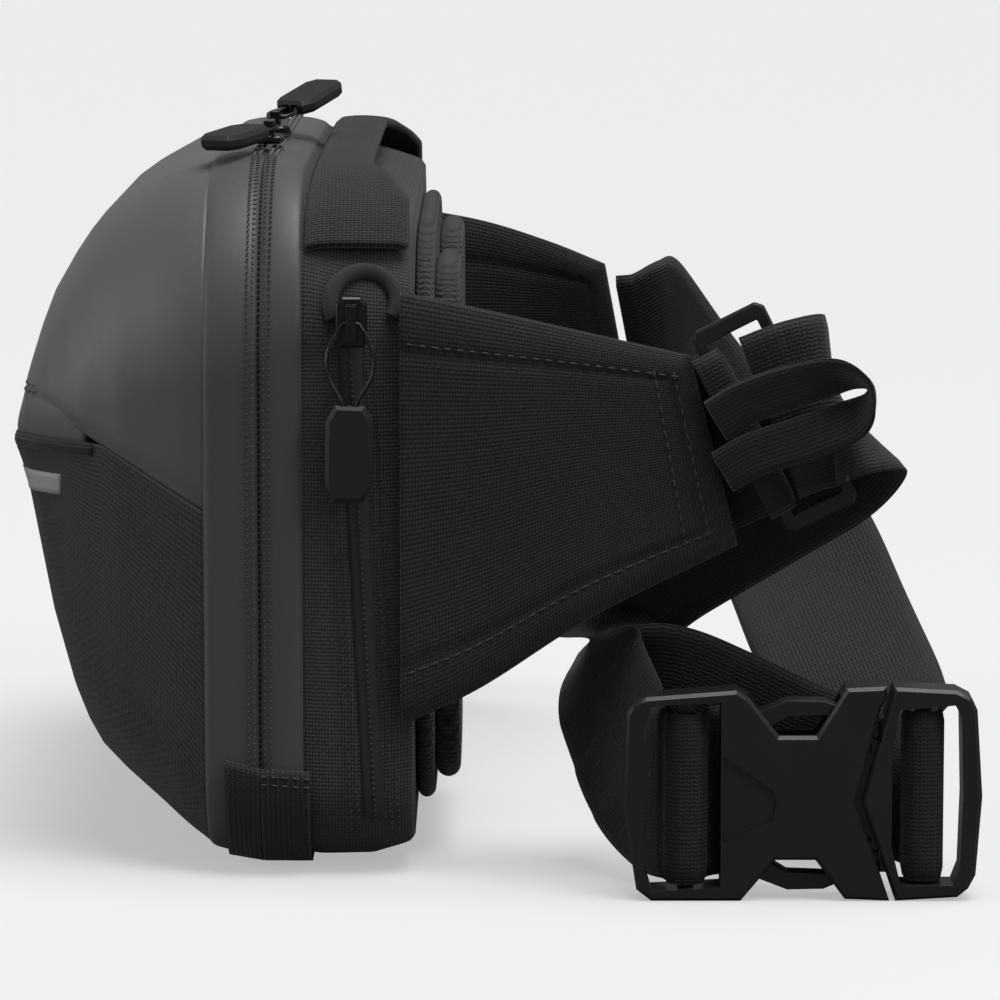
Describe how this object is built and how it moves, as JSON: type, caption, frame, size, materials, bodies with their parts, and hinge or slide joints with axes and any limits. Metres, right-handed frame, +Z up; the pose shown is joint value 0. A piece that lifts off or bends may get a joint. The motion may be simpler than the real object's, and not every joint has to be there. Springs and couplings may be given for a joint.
{
  "type": "hip pack",
  "caption": "Clamshell hip pack with padded side wings, a webbing waist belt, a side-release buckle, zips with corded pulls and a carrying handle.",
  "frame": {"origin": "middle of the bag's width, on the floor, on the webbing tab under the bag", "axes": "+X to the wearer's left, where the buckle lies; -Y to the bag's front; +Y to the wearer's back panel and belt; +Z up"},
  "size_m": [0.3271, 0.2719, 0.2151],
  "materials": {
    "coated_fabric": "smooth coated laminate",
    "cordura": "coarse woven nylon",
    "zip_tape": "coated zip tape",
    "webbing": "ribbed nylon webbing",
    "foam": "mesh-faced foam",
    "reflective": "matt reflective tape",
    "buckle_plastic": "fine satin moulding",
    "frame_plastic": "plain sheet",
    "slider_metal": "gloss black",
    "cord": "smooth coated cord",
    "pull_rubber": "moulded rubber"
  },
  "bodies": {
    "bag": {"rear_tub": "cordura", "gusset_rear": "coated_fabric", "main_zip_rear": "coated_fabric", "side_zip_left": "zip_tape", "side_zip_right": "zip_tape", "zip_garage_left": "cordura", "zip_garage_right": "cordura", "grab_handle": "cordura", "back_panel": "cordura", "back_pad_left": "foam", "back_pad_right": "foam", "frame_sheet": "frame_plastic", "padded_divider": "foam", "base_tab_rear": "webbing", "wing_left": "cordura", "wing_right": "cordura", "adjuster_loop": "buckle_plastic", "webbing_stub": "webbing", "finger_loop": "webbing", "near_strap": "webbing", "strap_tail": "webbing", "far_strap": "webbing", "buckle_housing": "buckle_plastic"},
    "front": {"gusset_front": "coated_fabric", "upper_panel": "coated_fabric", "front_pocket": "cordura", "main_zip_front": "coated_fabric", "pocket_flap": "coated_fabric", "reflective_strip": "reflective", "pocket_binding": "cordura", "base_tab_front": "webbing"},
    "main_slider_near": {"main_slider_near": "slider_metal"},
    "main_pull_near": {"main_pull_cord_near": "cord", "main_pull_tab_near": "pull_rubber"},
    "main_slider_far": {"main_slider_far": "slider_metal"},
    "main_pull_far": {"main_pull_cord_far": "cord", "main_pull_tab_far": "pull_rubber"},
    "side_slider_left": {"side_slider_left": "slider_metal"},
    "side_pull_left": {"side_pull_cord_left": "cord", "side_pull_tab_left": "pull_rubber"},
    "side_slider_right": {"side_slider_right": "slider_metal"},
    "side_pull_right": {"side_pull_cord_right": "cord", "side_pull_tab_right": "pull_rubber"},
    "buckle_male": {"buckle_frame": "buckle_plastic", "far_strap_end": "webbing"},
    "latch_upper": {"latch_arm_upper": "buckle_plastic"},
    "latch_lower": {"latch_arm_lower": "buckle_plastic"}
  },
  "joints": [
    {"name": "front_open", "type": "hinge", "parent": "bag", "child": "front", "pos_m": [0, -0.017, 0], "axis": [1, 0, 0], "range_deg": [0, 40]},
    {"name": "main_slider_far_run", "type": "slide", "parent": "bag", "child": "main_slider_far", "axis": [-1, 0, 0], "range_m": [0, 0.09]},
    {"name": "main_pull_far_flop", "type": "hinge", "parent": "main_slider_far", "child": "main_pull_far", "pos_m": [0.02, -0.017, 0.2056], "axis": [0.417, 0.9089, 0], "range_deg": [-14, 70]},
    {"name": "main_slider_near_run", "type": "slide", "parent": "bag", "child": "main_slider_near", "axis": [1, 0, 0], "range_m": [0, 0.012]},
    {"name": "main_pull_near_flop", "type": "hinge", "parent": "main_slider_near", "child": "main_pull_near", "pos_m": [0.062, -0.017, 0.2056], "axis": [-0.3824, -0.924, 0], "range_deg": [0, 80]},
    {"name": "side_slider_left_run", "type": "slide", "parent": "bag", "child": "side_slider_left", "axis": [0, 0.0485, -0.9988], "range_m": [0, 0.1]},
    {"name": "side_pull_left_flop", "type": "hinge", "parent": "side_slider_left", "child": "side_pull_left", "pos_m": [0.1471, 0.009, 0.157], "axis": [0, -1, 0], "range_deg": [0, 110]},
    {"name": "side_slider_right_run", "type": "slide", "parent": "bag", "child": "side_slider_right", "axis": [0, 0.0485, -0.9988], "range_m": [0, 0.1]},
    {"name": "side_pull_right_flop", "type": "hinge", "parent": "side_slider_right", "child": "side_pull_right", "pos_m": [-0.1471, 0.009, 0.157], "axis": [0, 1, 0], "range_deg": [0, 110]},
    {"name": "buckle_release", "type": "slide", "parent": "bag", "child": "buckle_male", "axis": [0, 1, 0], "range_m": [0, 0.048]},
    {"name": "latch_upper_press", "type": "hinge", "parent": "buckle_male", "child": "latch_upper", "pos_m": [0.165, 0.154, 0.0471], "axis": [1, 0, 0], "range_deg": [0, 8], "stiffness_Nm_per_rad": 1},
    {"name": "latch_lower_press", "type": "hinge", "parent": "buckle_male", "child": "latch_lower", "pos_m": [0.165, 0.154, 0.0113], "axis": [-1, 0, 0], "range_deg": [0, 8], "stiffness_Nm_per_rad": 1}
  ]
}
